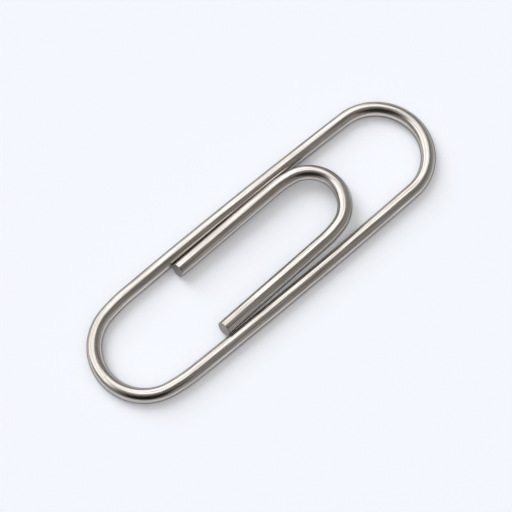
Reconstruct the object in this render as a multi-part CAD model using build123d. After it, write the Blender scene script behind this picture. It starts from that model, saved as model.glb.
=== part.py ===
from build123d import *
import math
import os

# Paper clip of round plated wire, in millimetres. +X runs along the clip to the bend that takes the paper,
# +Z is up, and the origin is on the table under the middle of the loop.

# Wire
wire_diameter = 1.0

# Closed outer loop: two long, slightly bowed legs, a round head bend and a slightly pinched foot bend
loop_length = 28.0
loop_width = 8.1
leg_bow_radius = 450.0
leg_bow_station = 0.5
foot_pinch = 0.967
foot_shoulder_radius = 11.3

# Tongue: one U bend with two straight legs that end in cut faces
tongue_half_width = 2.472
tongue_crown_ratio = 0.9525
tongue_shoulder_ratio = 2.775
tongue_bend_x = 3.03
tongue_bend_y = 0.153
tongue_yaw = 1.15
tongue_tilt = 1.3
tongue_splay = 0.14
left_leg_length = 8.45
right_leg_length = 8.84
cut_slant = 16.0
cut_edge_break = 0.03

# How the tongue rests on the loop, and the bead that holds it
wire_clearance = 0.02
bead_length = 1.1
bead_radius = 0.26
bead_offset = 0.12
bead_set_back = 0.3
bead_seat_gap = 0.01

wire_radius = wire_diameter / 2


def unit(a, b):
    """Direction from a to b in the plane."""
    length = math.hypot(b[0] - a[0], b[1] - a[1])
    return ((b[0] - a[0]) / length, (b[1] - a[1]) / length)


def along(start, direction, distance):
    """Point at a distance from start."""
    return (start[0] + direction[0] * distance, start[1] + direction[1] * distance)


def mirrored(point):
    """The same point on the other side of the clip's long axis."""
    return (point[0], -point[1])


def right_crossing(centre_a, reach_a, centre_b, reach_b):
    """Crossing of two circles that lies on the right of the line from a to b."""
    span = math.hypot(centre_b[0] - centre_a[0], centre_b[1] - centre_a[1])
    run = (span**2 + reach_a**2 - reach_b**2) / (2 * span)
    rise = math.sqrt(reach_a**2 - run**2)
    forward = unit(centre_a, centre_b)
    foot = along(centre_a, forward, run)
    return along(foot, (forward[1], -forward[0]), rise)


def arc(centre, start, end):
    """Shorter arc from start to end about a centre."""
    radius = math.hypot(start[0] - centre[0], start[1] - centre[1])
    middle = ((start[0] + end[0]) / 2, (start[1] + end[1]) / 2)
    return ThreePointArc(start, along(centre, unit(centre, middle), radius), end)


def wire_along(edges, radius):
    """Round wire swept along a planar path."""
    path = Wire(edges)
    section = Plane(origin=path @ 0, z_dir=path % 0) * Circle(radius)
    return sweep(section, path=path)


# Centreline of the loop
half_length = (loop_length - wire_diameter) / 2
half_width = (loop_width - wire_diameter) / 2
bow_centre = (leg_bow_station, half_width - leg_bow_radius)


def crown_radius(reach):
    """Radius of the bend that meets a bowed leg tangentially and ends at this reach from the bow's middle."""
    top = 2 * leg_bow_radius * half_width - half_width**2 - reach**2
    return top / (2 * (leg_bow_radius - reach))


def leg_y(x):
    """Distance of the loop's left leg from the long axis, on the bow."""
    return bow_centre[1] + math.sqrt(leg_bow_radius**2 - (x - leg_bow_station) ** 2)


def outer_loop():
    """Closed ring of wire lying on the table."""
    head_radius = crown_radius(half_length - leg_bow_station)
    head_centre = (half_length - head_radius, 0.0)
    foot_radius = foot_pinch * crown_radius(half_length + leg_bow_station)
    foot_centre = (foot_radius - half_length, 0.0)
    shoulder_centre = right_crossing(
        bow_centre,
        leg_bow_radius - foot_shoulder_radius,
        foot_centre,
        foot_shoulder_radius - foot_radius,
    )
    head_start = along(head_centre, unit(bow_centre, head_centre), head_radius)
    shoulder_top = along(shoulder_centre, unit(bow_centre, shoulder_centre), foot_shoulder_radius)
    shoulder_end = along(foot_centre, unit(shoulder_centre, foot_centre), foot_radius)
    edges = [
        ThreePointArc(head_start, (half_length, 0.0), mirrored(head_start)),
        arc(mirrored(bow_centre), mirrored(head_start), mirrored(shoulder_top)),
        arc(mirrored(shoulder_centre), mirrored(shoulder_top), mirrored(shoulder_end)),
        ThreePointArc(mirrored(shoulder_end), (-half_length, 0.0), shoulder_end),
        arc(shoulder_centre, shoulder_end, shoulder_top),
        arc(bow_centre, shoulder_top, head_start),
    ]
    return Pos(0, 0, wire_radius) * wire_along(edges, wire_radius)


# Centreline of the tongue in its own plane, bend toward +X
crown = tongue_crown_ratio * tongue_half_width
shoulder = tongue_shoulder_ratio * tongue_half_width
crown_spread = math.asin((shoulder - tongue_half_width) / (shoulder - crown))
crown_centre = ((shoulder - crown) * math.cos(crown_spread), 0.0)
shoulder_low = (0.0, tongue_half_width - shoulder)
splay = math.radians(tongue_splay)
crown_start = along(crown_centre, (math.cos(crown_spread), math.sin(crown_spread)), crown)
leg_start = along(shoulder_low, (math.sin(splay), math.cos(splay)), shoulder)
leg_direction = (-math.cos(splay), math.sin(splay))
left_end = along(leg_start, leg_direction, left_leg_length)
right_end = mirrored(along(leg_start, leg_direction, right_leg_length))


def in_plan(point):
    """Point of the tongue's plane turned and moved to its place, seen from above."""
    turn = math.radians(tongue_yaw)
    x = tongue_bend_x + point[0] * math.cos(turn) - point[1] * math.sin(turn)
    y = tongue_bend_y + point[0] * math.sin(turn) + point[1] * math.cos(turn)
    return (x, y)


# The tongue tilts up from the line across its longer leg's end
tilt = math.radians(tongue_tilt)
root_x = in_plan(right_end)[0]


def lifted(point, root_z):
    """Point of the tongue's plane in the clip's frame, with the root line at a height."""
    x, y = in_plan(point)
    return (root_x + (x - root_x) * math.cos(tilt), y, root_z + (x - root_x) * math.sin(tilt))


def lowest_root():
    """Height of the root line at which the tongue's legs come down to the loop's legs."""
    reach = wire_diameter + wire_clearance
    heights = []
    for step in range(41):
        share = step / 40
        left = along(leg_start, leg_direction, left_leg_length * share)
        right = mirrored(along(leg_start, leg_direction, right_leg_length * share))
        for point in (left, right):
            x, y, rise = lifted(point, 0.0)
            spacing = min(leg_y(x) - abs(y), reach)
            heights.append(wire_radius + math.sqrt(reach**2 - spacing**2) - rise)
    return max(heights)


root_z = lowest_root()


def cut_tool(end, direction):
    """Block beyond a leg's slanted cut face, in the tongue's plane."""
    slant = math.radians(cut_slant)
    normal = (direction[0] * math.cos(slant), direction[1] * math.cos(slant), math.sin(slant))
    face = Plane(origin=(end[0], end[1], 0.0), z_dir=normal)
    size = 4 * wire_diameter
    return face * Box(size, size, size, align=(Align.CENTER, Align.CENTER, Align.MIN))


def tongue():
    """U of wire with both ends cut on the slant."""
    spare = 2 * wire_diameter
    left_tail = along(left_end, leg_direction, spare)
    right_tail = along(right_end, mirrored(leg_direction), spare)
    crown_tip = (crown_centre[0] + crown, 0.0)
    edges = [
        Line(left_tail, leg_start),
        arc(shoulder_low, leg_start, crown_start),
        ThreePointArc(crown_start, crown_tip, mirrored(crown_start)),
        arc(mirrored(shoulder_low), mirrored(crown_start), mirrored(leg_start)),
        Line(mirrored(leg_start), right_tail),
    ]
    body = wire_along(edges, wire_radius)
    body -= cut_tool(left_end, leg_direction)
    body -= cut_tool(right_end, mirrored(leg_direction))
    rims = [edge for face in body.faces().filter_by(GeomType.PLANE) for edge in face.edges()]
    body = fillet(rims, cut_edge_break)
    body = Pos(tongue_bend_x - root_x, tongue_bend_y, 0) * Rot(0, 0, tongue_yaw) * body
    return Pos(root_x, 0, root_z) * Rot(0, -tongue_tilt, 0) * body


def root_weld(loop):
    """Bead in the notch under the left leg's end, fused to the loop and seating the tongue."""
    start = along(left_end, leg_direction, -bead_set_back)
    low = lifted(start, root_z)
    high = lifted(along(start, leg_direction, -bead_length), root_z)
    middle = [(a + b) / 2 for a, b in zip(low, high)]
    axis = [b - a for a, b in zip(low, high)]
    across = (middle[1], middle[2])
    beside = (leg_y(middle[0]), wire_radius)
    toward = unit(across, beside)
    half = math.hypot(beside[0] - across[0], beside[1] - across[1]) / 2
    depth = math.sqrt(max((wire_radius + bead_offset) ** 2 - half**2, 0.0))
    notch = along(along(across, toward, half), (toward[1], -toward[0]), depth)
    bar = Cylinder(bead_radius, bead_length - 2 * bead_radius)
    ends = [Pos(0, 0, side * (bead_length / 2 - bead_radius)) * Sphere(bead_radius) for side in (-1, 1)]
    bead = Plane(origin=(middle[0], notch[0], notch[1]), z_dir=axis) * (bar + ends)
    leg = Plane(origin=middle, z_dir=axis) * Cylinder(wire_radius + bead_seat_gap, 4 * bead_length)
    return bead - loop - leg


loop = outer_loop()
os.makedirs("parts", exist_ok=True)
export_step(loop, "parts/outer_loop.step")
export_step(tongue(), "parts/tongue.step")
export_step(root_weld(loop), "parts/root_weld.step")
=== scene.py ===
import math

import bpy
from mathutils import Matrix, Vector


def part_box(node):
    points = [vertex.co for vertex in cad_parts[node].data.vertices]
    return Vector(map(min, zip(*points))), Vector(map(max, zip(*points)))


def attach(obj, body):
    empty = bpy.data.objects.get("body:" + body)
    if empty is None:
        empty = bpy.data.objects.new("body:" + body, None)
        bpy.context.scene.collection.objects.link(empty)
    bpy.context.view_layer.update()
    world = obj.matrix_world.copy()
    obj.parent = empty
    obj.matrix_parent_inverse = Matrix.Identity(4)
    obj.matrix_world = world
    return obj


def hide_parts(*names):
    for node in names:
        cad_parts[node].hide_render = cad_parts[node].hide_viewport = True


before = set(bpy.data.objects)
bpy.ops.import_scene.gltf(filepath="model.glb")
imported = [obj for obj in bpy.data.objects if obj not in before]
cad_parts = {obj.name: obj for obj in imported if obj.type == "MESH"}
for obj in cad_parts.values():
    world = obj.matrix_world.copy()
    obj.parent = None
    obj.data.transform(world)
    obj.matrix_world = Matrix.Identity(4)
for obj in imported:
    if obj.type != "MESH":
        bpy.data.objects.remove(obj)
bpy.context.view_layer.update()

MM = 0.001

# Sizes read from the frame, apart from the loop's width, which the frame's coarser mesh falls just short of
loop_low, loop_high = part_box("outer_loop")
tongue_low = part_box("tongue")[0]
loop_width = 8.1 * MM
wire_radius = (loop_high[2] - loop_low[2]) / 2
half_length = (loop_high[0] - loop_low[0]) / 2 - wire_radius
half_width = loop_width / 2 - wire_radius
root_z = tongue_low[2] + wire_radius

# The loop's bends
leg_bow_radius = 450 * MM
leg_bow_station = 0.5 * MM
foot_pinch = 0.967
foot_shoulder_radius = 11.3 * MM

# The tongue's bend, legs and cut ends
tongue_half_width = 2.472 * MM
tongue_crown = 0.9525 * tongue_half_width
tongue_shoulder = 2.775 * tongue_half_width
tongue_bend = Vector((3.03 * MM, 0.153 * MM))
tongue_yaw = math.radians(1.15)
tongue_tilt = math.radians(1.3)
tongue_splay = math.radians(0.14)
left_leg_length = 8.45 * MM
right_leg_length = 8.84 * MM
cut_slant = math.radians(16)
cut_edge_break = 0.03 * MM

# Mesh fineness
ring_sides = 64
path_step = 0.08 * MM

# Rings over a cut end: steps round its edge, rings on its face as shares of the radius lost and of wear, and
# how far the worn rim runs back along the wire, with its wear there
cut_edge_steps = 3
cut_face_rings = ((0.10, 0.6), (0.35, 0.0), (0.7, 0.0))
worn_length = 3 * cut_edge_break
worn_fade = 0.4

# Plated wire: scales per millimetre along the wire and per radius across it, bumps as strength and depth.
# A black edge tint makes the metal darkest where it is seen at a glancing angle.
plating_edge_tint = (0.0, 0.0, 0.0, 1)
streak_scale = (0.26, 6.0, 6.0)
scratch_scale = (0.5, 17.0, 17.0)
cloud_scale = (0.35, 1.2, 1.2)
plating_tones = [
    (0.3, (0.610, 0.572, 0.535)),
    (0.5, (0.660, 0.622, 0.585)),
    (0.7, (0.690, 0.655, 0.620)),
]
streak_tones = [(0.36, (0.60, 0.58, 0.56)), (0.56, (1.0, 1.0, 1.0))]
worn_colour = (0.50, 0.48, 0.46, 1)
plating_roughness = (0.06, 0.32)
streak_bump = (0.16, 0.02 * MM)
scratch_bump = (0.15, 0.008 * MM)

# Cut faces: scales per metre
cut_edge_tint = (0.8, 0.8, 0.8, 1)
tear_scale = (3000, 14000, 3000)
grain_scale = 9000.0
cut_tones = [(0.3, (0.29, 0.272, 0.255)), (0.7, (0.425, 0.408, 0.383))]
cut_roughness = (0.38, 0.60)
tear_bump = (0.35, 0.02 * MM)
grain_bump = (0.25, 0.01 * MM)

# Weld bead: scales per metre
ripple_scale = (9000, 2500, 2500)
heat_scale = 2500.0
weld_tones = [(0.35, (0.30, 0.25, 0.21)), (0.65, (0.47, 0.46, 0.45))]
weld_roughness = (0.36, 0.58)
ripple_bump = (0.5, 0.02 * MM)

# Floor, and the same pale colour behind it. A small share of what shows of the floor is a warm light of its
# own, so that its shadows are no darker or bluer than the photograph's.
floor_colour = (0.905, 0.930, 0.982)
floor_half = 0.25
floor_own_share = 0.06
floor_own_colour = (0.98, 0.91, 0.84)

# Lamps: the key shows in the metal alone, and the shadow lamp lights the floor alone
key_direction = (-0.05, 0.72, 0.695)
key_distance = 3.6
key_size = (7.2, 5.1)
key_radiance = 1.45
key_tint = (0.98, 1.0, 1.02)
shadow_direction = (-0.05, 0.74, 0.67)
shadow_distance = 14.4
shadow_size = (10.4, 11.6)
shadow_radiance = 3.64
shadow_tint = (0.955, 1.0, 1.035)

# Room round the clip: soft light for the floor, strongest overhead, and pale walls, a dim ceiling and one
# dark corner for the metal to mirror. A patch of it has a direction, and an edge and a core as cosines from
# that direction.
overhead = (0.0, -0.12, 0.99)
overhead_edge = 0.25
overhead_core = 0.98
overhead_level = 0.995
overhead_tint = (1.02, 1.0, 0.99, 1)
horizon_level = 0.08
ceiling = (0.0, 0.0, 1.0)
ceiling_edge = 0.20
ceiling_core = 0.88
ceiling_mirrored = 0.315
walls_mirrored = 0.48
dark_corner = (-0.463, -0.535, 0.707)
dark_corner_edge = 0.78
dark_corner_core = 0.95
mirrored_tones = [
    (0.0, (0.008, 0.003, 0.0)),
    (0.26, (0.215, 0.203, 0.195)),
    (0.50, (0.415, 0.398, 0.386)),
]

# Camera: angles and distance of the photograph's view, and the point in the middle of the picture
camera_azimuth = math.radians(-40.92)
camera_elevation = math.radians(71.19)
camera_distance = 86.4 * MM
camera_target = Vector((-0.845 * MM, -0.054 * MM, 0.5 * MM))
camera_lens = 92.25
camera_sensor = 36.0
camera_near = 1 * MM
camera_far = 10


# Planar paths

def arc_points(centre, start, end):
    """Points on the shorter arc from start to end, both included."""
    radius = (start - centre).length
    first = math.atan2(start.y - centre.y, start.x - centre.x)
    last = math.atan2(end.y - centre.y, end.x - centre.x)
    turn = (last - first + math.pi) % (2 * math.pi) - math.pi
    count = max(2, math.ceil(abs(turn) * radius / path_step))
    angles = [first + turn * i / count for i in range(count + 1)]
    return [centre + radius * Vector((math.cos(a), math.sin(a))) for a in angles]


def line_points(start, end):
    """Points on a straight stretch, both ends included."""
    count = max(2, math.ceil((end - start).length / path_step))
    return [start.lerp(end, i / count) for i in range(count + 1)]


def joined(*stretches):
    """Stretches that follow one another as one list, with each shared point kept once."""
    points = list(stretches[0])
    for stretch in stretches[1:]:
        points += stretch[1:]
    return points


def mirrored(points):
    """The same points on the other side of the long axis."""
    return [Vector((p.x, -p.y)) for p in points]


def bow_crown_radius(reach):
    """Radius of a bend that meets a bowed leg tangentially and ends at this reach from the bow's middle."""
    top = 2 * leg_bow_radius * half_width - half_width**2 - reach**2
    return top / (2 * (leg_bow_radius - reach))


def loop_path():
    """Closed centreline of the outer loop, from the foot along the left leg and back along the right one."""
    bow_centre = Vector((leg_bow_station, half_width - leg_bow_radius))
    head_radius = bow_crown_radius(half_length - leg_bow_station)
    head_centre = Vector((half_length - head_radius, 0))
    foot_radius = foot_pinch * bow_crown_radius(half_length + leg_bow_station)
    foot_centre = Vector((foot_radius - half_length, 0))
    reach_bow = leg_bow_radius - foot_shoulder_radius
    reach_foot = foot_shoulder_radius - foot_radius
    forward = foot_centre - bow_centre
    span = forward.length
    forward.normalize()
    run = (span**2 + reach_bow**2 - reach_foot**2) / (2 * span)
    rise = math.sqrt(reach_bow**2 - run**2)
    shoulder_centre = bow_centre + forward * run + Vector((forward.y, -forward.x)) * rise
    head_start = head_centre + (head_centre - bow_centre).normalized() * head_radius
    shoulder_top = shoulder_centre + (shoulder_centre - bow_centre).normalized() * foot_shoulder_radius
    shoulder_end = foot_centre + (foot_centre - shoulder_centre).normalized() * foot_radius
    left = joined(
        arc_points(foot_centre, Vector((-half_length, 0)), shoulder_end),
        arc_points(shoulder_centre, shoulder_end, shoulder_top),
        arc_points(bow_centre, shoulder_top, head_start),
        arc_points(head_centre, head_start, Vector((half_length, 0))),
    )
    return left + mirrored(left)[-2:0:-1]


def tongue_path():
    """Open centreline of the tongue, from the left leg's cut end round the bend to the right leg's."""
    spread = math.asin((tongue_shoulder - tongue_half_width) / (tongue_shoulder - tongue_crown))
    crown_centre = Vector(((tongue_shoulder - tongue_crown) * math.cos(spread), 0))
    shoulder_centre = Vector((0, tongue_half_width - tongue_shoulder))
    tip = crown_centre + Vector((tongue_crown, 0))
    crown_start = crown_centre + tongue_crown * Vector((math.cos(spread), math.sin(spread)))
    leg_start = shoulder_centre + tongue_shoulder * Vector((math.sin(tongue_splay), math.cos(tongue_splay)))
    leg_direction = Vector((-math.cos(tongue_splay), math.sin(tongue_splay)))
    halves = []
    for length in (left_leg_length, right_leg_length):
        halves.append(joined(
            arc_points(crown_centre, tip, crown_start),
            arc_points(shoulder_centre, crown_start, leg_start),
            line_points(leg_start, leg_start + leg_direction * length),
        ))
    points = halves[0][::-1] + mirrored(halves[1])[1:]
    turn = Matrix.Rotation(tongue_yaw, 2)
    return [tongue_bend + turn @ p for p in points]


def tangents(points, closed):
    """Unit direction of travel at each point."""
    count = len(points)
    found = []
    for i in range(count):
        before = points[i - 1] if closed or i else points[i]
        after = points[(i + 1) % count] if closed or i + 1 < count else points[i]
        found.append((after - before).normalized())
    return found


def distances(points):
    """Distance along the path to each point."""
    total, found = 0.0, [0.0]
    for a, b in zip(points, points[1:]):
        total += (b - a).length
        found.append(total)
    return found


# Wire meshes

class WireMesh:
    """Collects rings of vertices round a planar path, with each vertex's place along and round the wire."""

    def __init__(self):
        self.vertices, self.faces, self.places, self.rims, self.cut_faces = [], [], [], [], set()

    def ring(self, points, place, rim):
        """Adds one ring and returns the number of its first vertex."""
        first = len(self.vertices)
        for i, point in enumerate(points):
            angle = 2 * math.pi * i / ring_sides
            self.vertices.append(point)
            self.places.append((place / MM, math.cos(angle), math.sin(angle)))
            self.rims.append(rim)
        return first

    def bridge(self, a, b, cut=False):
        """Band of faces from one ring to the next along the wire."""
        for i in range(ring_sides):
            j = (i + 1) % ring_sides
            if cut:
                self.cut_faces.add(len(self.faces))
            self.faces.append((a + i, a + j, b + j, b + i))

    def fan(self, a, centre, place, flip):
        """Faces that close a ring at the middle of a cut end."""
        middle = len(self.vertices)
        self.vertices.append(centre)
        self.places.append((place / MM, 0.0, 0.0))
        self.rims.append(0.0)
        for i in range(ring_sides):
            j = (i + 1) % ring_sides
            self.cut_faces.add(len(self.faces))
            self.faces.append((a + j, a + i, middle) if flip else (a + i, a + j, middle))

    def make(self, name, materials, placement):
        """Object made of what was collected. A second material goes on the cut ends."""
        mesh = bpy.data.meshes.new(name)
        mesh.from_pydata([placement @ v for v in self.vertices], [], self.faces)
        for material in materials:
            mesh.materials.append(material)
        on_cut = [int(i in self.cut_faces) for i in range(len(self.faces))]
        mesh.polygons.foreach_set("material_index", on_cut)
        mesh.polygons.foreach_set("use_smooth", [True] * len(self.faces))
        place = mesh.attributes.new("wire_place", "FLOAT_VECTOR", "POINT")
        place.data.foreach_set("vector", [x for p in self.places for x in p])
        rim = mesh.attributes.new("cut_rim", "FLOAT", "POINT")
        rim.data.foreach_set("value", self.rims)
        mesh.validate()
        piece = bpy.data.objects.new(name, mesh)
        bpy.context.scene.collection.objects.link(piece)
        return piece


def around(point, tangent, radius):
    """One ring of points round the wire, in its own plane."""
    side = Vector((-tangent.y, tangent.x, 0))
    up = Vector((0, 0, 1))
    centre = point.to_3d()
    angles = [2 * math.pi * i / ring_sides for i in range(ring_sides)]
    return [centre + radius * (math.cos(a) * side + math.sin(a) * up) for a in angles]


def closed_wire(name, points, materials, placement):
    """Ring of wire with no end."""
    wire = WireMesh()
    places = distances(points)
    rings = [
        wire.ring(around(p, t, wire_radius), s, 0.0)
        for p, t, s in zip(points, tangents(points, True), places)
    ]
    for a, b in zip(rings, rings[1:] + rings[:1]):
        wire.bridge(a, b)
    return wire.make(name, materials, placement)


def slanted(points, centre, outward, set_back):
    """Ring points moved along the leg onto the cut plane, or to a plane set back from it."""
    rise = math.tan(cut_slant)
    moved = []
    for p in points:
        along = (p - centre).dot(outward)
        moved.append(p + outward * (-p.z * rise - set_back - along))
    return moved


def cut_rings():
    """Rings from the wire over a cut's edge onto its face: radius lost, set-back, wear, whether bare."""
    rings = [(0.0, worn_length, worn_fade, False), (0.0, cut_edge_break, 1.0, False)]
    for step in range(1, cut_edge_steps + 1):
        turn = math.pi / 2 * step / cut_edge_steps
        lost = cut_edge_break * (1 - math.cos(turn))
        set_back = cut_edge_break * (1 - math.sin(turn))
        rings.append((lost, set_back, 1.0, step == cut_edge_steps))
    return rings + [(share * wire_radius, 0.0, wear, True) for share, wear in cut_face_rings]


def open_wire(name, points, materials, placement):
    """Wire with two slanted, slightly rounded cut ends."""
    wire = WireMesh()
    places = distances(points)
    directions = tangents(points, False)
    margin = wire_radius * math.tan(cut_slant) + worn_length
    inner = [i for i, s in enumerate(places) if margin < s < places[-1] - margin]
    rings = [wire.ring(around(points[i], directions[i], wire_radius), places[i], 0.0) for i in inner]
    for a, b in zip(rings, rings[1:]):
        wire.bridge(a, b)
    for previous, tip, sign in ((rings[0], 0, -1), (rings[-1], len(points) - 1, 1)):
        outward = directions[tip].to_3d() * sign
        centre = points[tip].to_3d()
        for lost, set_back, wear, bare in cut_rings():
            ring = around(points[tip], directions[tip], wire_radius - lost)
            ring = wire.ring(slanted(ring, centre, outward, set_back), places[tip], wear)
            a, b = (previous, ring) if sign > 0 else (ring, previous)
            wire.bridge(a, b, bare)
            previous = ring
        wire.fan(previous, centre, places[tip], flip=sign < 0)
    return wire.make(name, materials, placement)


# Materials

class Nodes:
    """Short names for making and linking the nodes of one tree."""

    def __init__(self, tree):
        self.tree = tree
        tree.nodes.clear()

    def add(self, kind, **settings):
        node = self.tree.nodes.new(kind)
        for name, value in settings.items():
            setattr(node, name, value)
        return node

    def link(self, out, into):
        self.tree.links.new(out, into)

    def feed(self, value, socket):
        """Links an output to a socket, or sets the socket to a plain value."""
        if isinstance(value, bpy.types.NodeSocket):
            self.link(value, socket)
        else:
            socket.default_value = value

    def math(self, operation, a, b):
        node = self.add("ShaderNodeMath", operation=operation)
        for socket, value in zip(node.inputs, (a, b)):
            self.feed(value, socket)
        return node.outputs[0]

    def noise(self, vector, detail, roughness=0.5, scale=1.0):
        node = self.add("ShaderNodeTexNoise")
        node.inputs["Scale"].default_value = scale
        node.inputs["Detail"].default_value = detail
        node.inputs["Roughness"].default_value = roughness
        self.link(vector, node.inputs["Vector"])
        return node.outputs["Fac"]

    def stretched(self, vector, scale):
        node = self.add("ShaderNodeMapping")
        node.inputs["Scale"].default_value = scale
        self.link(vector, node.inputs["Vector"])
        return node.outputs["Vector"]

    def ramp(self, value, stops):
        node = self.add("ShaderNodeValToRGB")
        elements = node.color_ramp.elements
        while len(elements) < len(stops):
            elements.new(0.5)
        for element, (position, colour) in zip(elements, stops):
            element.position = position
            element.color = (*colour, 1)
        self.link(value, node.inputs["Fac"])
        return node.outputs["Color"]

    def colour_mix(self, blend_type, factor, a, b):
        node = self.add("ShaderNodeMix", data_type="RGBA", blend_type=blend_type)
        self.feed(factor, node.inputs["Factor"])
        colours = [socket for socket in node.inputs if socket.type == "RGBA"]
        for socket, value in zip(colours, (a, b)):
            self.feed(value, socket)
        return next(socket for socket in node.outputs if socket.type == "RGBA")

    def spread(self, value, low, high):
        node = self.add("ShaderNodeMapRange")
        node.inputs["To Min"].default_value = low
        node.inputs["To Max"].default_value = high
        self.link(value, node.inputs["Value"])
        return node.outputs["Result"]

    def bump(self, height, strength, distance, normal=None):
        node = self.add("ShaderNodeBump")
        node.inputs["Strength"].default_value = strength
        node.inputs["Distance"].default_value = distance
        self.link(height, node.inputs["Height"])
        if normal:
            self.link(normal, node.inputs["Normal"])
        return node.outputs["Normal"]

    def background(self, colour, strength=1.0):
        node = self.add("ShaderNodeBackground")
        self.feed(colour, node.inputs["Color"])
        self.feed(strength, node.inputs["Strength"])
        return node.outputs["Background"]

    def shader_mix(self, factor, a, b):
        node = self.add("ShaderNodeMixShader")
        for socket, value in zip(node.inputs, (factor, a, b)):
            self.link(value, socket)
        return node.outputs["Shader"]


def metal(name):
    """New material with a metallic surface shader."""
    material = bpy.data.materials.new(name)
    material.use_nodes = True
    nodes = Nodes(material.node_tree)
    shader = nodes.add("ShaderNodeBsdfPrincipled")
    shader.inputs["Metallic"].default_value = 1.0
    output = nodes.add("ShaderNodeOutputMaterial")
    nodes.link(shader.outputs["BSDF"], output.inputs["Surface"])
    return material, nodes, shader


def plated_wire():
    """Satin nickel on drawn wire: fine streaks along the wire, soft tone changes, wear at the cut rims."""
    material, nodes, shader = metal("plated_wire")
    shader.inputs["Specular Tint"].default_value = plating_edge_tint
    place = nodes.add("ShaderNodeAttribute", attribute_name="wire_place").outputs["Vector"]
    rim = nodes.add("ShaderNodeAttribute", attribute_name="cut_rim").outputs["Fac"]
    streaks = nodes.noise(nodes.stretched(place, streak_scale), detail=4.0, roughness=0.65)
    scratches = nodes.noise(nodes.stretched(place, scratch_scale), detail=2.0, roughness=0.6)
    clouds = nodes.noise(nodes.stretched(place, cloud_scale), detail=3.0)
    plating = nodes.ramp(clouds, plating_tones)
    streaked = nodes.colour_mix("MULTIPLY", 1.0, plating, nodes.ramp(streaks, streak_tones))
    worn = nodes.colour_mix("MIX", nodes.math("MULTIPLY", rim, streaks), streaked, worn_colour)
    nodes.link(worn, shader.inputs["Base Color"])
    nodes.link(nodes.spread(streaks, *plating_roughness), shader.inputs["Roughness"])
    normal = nodes.bump(streaks, *streak_bump)
    normal = nodes.bump(scratches, *scratch_bump, normal)
    nodes.link(normal, shader.inputs["Normal"])
    return material


def cut_steel():
    """Sheared end of the wire: dull bare steel with fine tear marks running up the face."""
    material, nodes, shader = metal("cut_steel")
    shader.inputs["Specular Tint"].default_value = cut_edge_tint
    place = nodes.add("ShaderNodeTexCoord").outputs["Object"]
    tears = nodes.noise(nodes.stretched(place, tear_scale), detail=3.0, roughness=0.6)
    grains = nodes.noise(place, detail=4.0, roughness=0.65, scale=grain_scale)
    nodes.link(nodes.ramp(tears, cut_tones), shader.inputs["Base Color"])
    nodes.link(nodes.spread(grains, *cut_roughness), shader.inputs["Roughness"])
    normal = nodes.bump(tears, *tear_bump)
    normal = nodes.bump(grains, *grain_bump, normal)
    nodes.link(normal, shader.inputs["Normal"])
    return material


def weld_metal():
    """Small weld bead: dull grey with fine ripples and a slight brown heat tint."""
    material, nodes, shader = metal("weld_metal")
    place = nodes.add("ShaderNodeTexCoord").outputs["Object"]
    ripples = nodes.noise(nodes.stretched(place, ripple_scale), detail=2.0)
    heat = nodes.noise(place, detail=3.0, scale=heat_scale)
    nodes.link(nodes.ramp(heat, weld_tones), shader.inputs["Base Color"])
    nodes.link(nodes.spread(ripples, *weld_roughness), shader.inputs["Roughness"])
    nodes.link(nodes.bump(ripples, *ripple_bump), shader.inputs["Normal"])
    return material


# Pieces

wire_metal = plated_wire()
end_metal = cut_steel()

on_table = Matrix.Translation((0, 0, wire_radius))
loop_wire = closed_wire("loop_wire", loop_path(), [wire_metal], on_table)
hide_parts("outer_loop")
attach(loop_wire, "loop")

tongue_line = tongue_path()
root = Vector((tongue_line[-1].x, 0, 0))
raised = Matrix.Translation(root + Vector((0, 0, root_z)))
tilted = raised @ Matrix.Rotation(-tongue_tilt, 4, "Y") @ Matrix.Translation(-root)
tongue_wire = open_wire("tongue_wire", tongue_line, [wire_metal, end_metal], tilted)
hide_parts("tongue")
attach(tongue_wire, "tongue")

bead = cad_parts["root_weld"]
bead.data.materials.clear()
bead.data.materials.append(weld_metal())


# Floor, light and camera

def floor():
    """Plain pale floor, with its own light mixed in where it is seen or mirrored."""
    corners = [(x * floor_half, y * floor_half, 0) for x, y in ((-1, -1), (1, -1), (1, 1), (-1, 1))]
    mesh = bpy.data.meshes.new("floor")
    mesh.from_pydata(corners, [], [(0, 1, 2, 3)])
    material = bpy.data.materials.new("pale_floor")
    material.use_nodes = True
    nodes = Nodes(material.node_tree)
    lit = nodes.add("ShaderNodeBsdfDiffuse")
    lit.inputs["Color"].default_value = (*floor_colour, 1)
    own = nodes.add("ShaderNodeEmission")
    own.inputs["Color"].default_value = (*floor_own_colour, 1)
    light_path = nodes.add("ShaderNodeLightPath").outputs
    seen = nodes.math("MAXIMUM", light_path["Is Camera Ray"], light_path["Is Glossy Ray"])
    seen = nodes.math("MAXIMUM", seen, light_path["Is Transmission Ray"])
    own_share = nodes.math("MULTIPLY", seen, floor_own_share)
    surface = nodes.shader_mix(own_share, lit.outputs["BSDF"], own.outputs["Emission"])
    nodes.link(surface, nodes.add("ShaderNodeOutputMaterial").inputs["Surface"])
    mesh.materials.append(material)
    plane = bpy.data.objects.new("floor", mesh)
    bpy.context.scene.collection.objects.link(plane)


def softbox(name, direction, distance, size, radiance, tint, in_metal):
    """Rectangular lamp of a given radiance, aimed at the clip, that shows in metal or lights the floor."""
    lamp = bpy.data.lights.new(name, "AREA")
    lamp.shape = "RECTANGLE"
    lamp.size, lamp.size_y = size
    lamp.energy = radiance * math.pi * lamp.size * lamp.size_y
    lamp.color = tint
    holder = bpy.data.objects.new(name, lamp)
    toward = Vector(direction).normalized()
    holder.location = toward * distance
    holder.rotation_euler = toward.to_track_quat("Z", "Y").to_euler()
    holder.visible_glossy = in_metal
    holder.visible_diffuse = not in_metal
    bpy.context.scene.collection.objects.link(holder)


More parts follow.
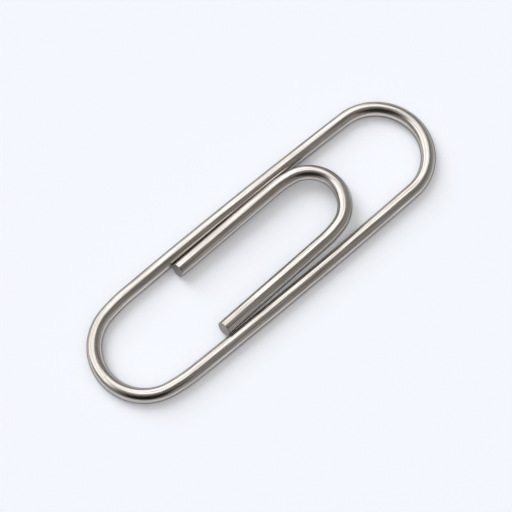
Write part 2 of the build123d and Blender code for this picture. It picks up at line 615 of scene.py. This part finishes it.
def studio_world():
    """Soft overhead light for the floor, and a room with pale walls and a dim ceiling in the metal."""
    world = bpy.data.worlds.new("studio")
    bpy.context.scene.world = world
    world.use_nodes = True
    nodes = Nodes(world.node_tree)
    direction = nodes.add("ShaderNodeTexCoord").outputs["Generated"]

    def patch(toward, edge, core, low, high):
        """Level that runs from low outside a patch's edge to high in its core."""
        facing = nodes.add("ShaderNodeVectorMath", operation="DOT_PRODUCT")
        facing.inputs[1].default_value = Vector(toward).normalized()
        nodes.link(direction, facing.inputs[0])
        level = nodes.add("ShaderNodeMapRange", interpolation_type="SMOOTHSTEP")
        level.inputs["From Min"].default_value = edge
        level.inputs["From Max"].default_value = core
        level.inputs["To Min"].default_value = low
        level.inputs["To Max"].default_value = high
        nodes.link(facing.outputs["Value"], level.inputs["Value"])
        return level.outputs["Result"]

    walls = patch(ceiling, ceiling_edge, ceiling_core, walls_mirrored, ceiling_mirrored)
    corner = patch(dark_corner, dark_corner_edge, dark_corner_core, 1.0, 0.0)
    room = nodes.background(nodes.ramp(nodes.math("MULTIPLY", walls, corner), mirrored_tones))
    overhead_light = patch(overhead, overhead_edge, overhead_core, horizon_level, overhead_level)
    soft = nodes.background(overhead_tint, overhead_light)
    behind = nodes.background((*floor_colour, 1))
    light_path = nodes.add("ShaderNodeLightPath").outputs
    # The metal shows the room, but throws the soft light onto the floor
    shows_room = nodes.math("SUBTRACT", light_path["Is Glossy Ray"], light_path["Diffuse Depth"])
    surroundings = nodes.shader_mix(shows_room, soft, room)
    seen = nodes.shader_mix(light_path["Is Camera Ray"], surroundings, behind)
    nodes.link(seen, nodes.add("ShaderNodeOutputWorld").inputs["Surface"])


def photo_camera():
    """Camera at the photograph's viewing angle."""
    data = bpy.data.cameras.new("photo_camera")
    data.sensor_fit = "HORIZONTAL"
    data.sensor_width = camera_sensor
    data.lens = camera_lens
    data.clip_start = camera_near
    data.clip_end = camera_far
    camera = bpy.data.objects.new("photo_camera", data)
    back = Vector((
        math.sin(camera_azimuth) * math.cos(camera_elevation),
        -math.cos(camera_azimuth) * math.cos(camera_elevation),
        math.sin(camera_elevation),
    ))
    right = Vector((math.cos(camera_azimuth), math.sin(camera_azimuth), 0))
    up = back.cross(right)
    turn = Matrix((right, up, back)).transposed()
    camera.matrix_world = Matrix.Translation(camera_target + back * camera_distance) @ turn.to_4x4()
    bpy.context.scene.collection.objects.link(camera)
    bpy.context.scene.camera = camera


floor()
softbox("key_light", key_direction, key_distance, key_size, key_radiance, key_tint, in_metal=True)
softbox(
    "shadow_light",
    shadow_direction,
    shadow_distance,
    shadow_size,
    shadow_radiance,
    shadow_tint,
    in_metal=False,
)
studio_world()
photo_camera()
bpy.context.scene.view_settings.view_transform = "Standard"
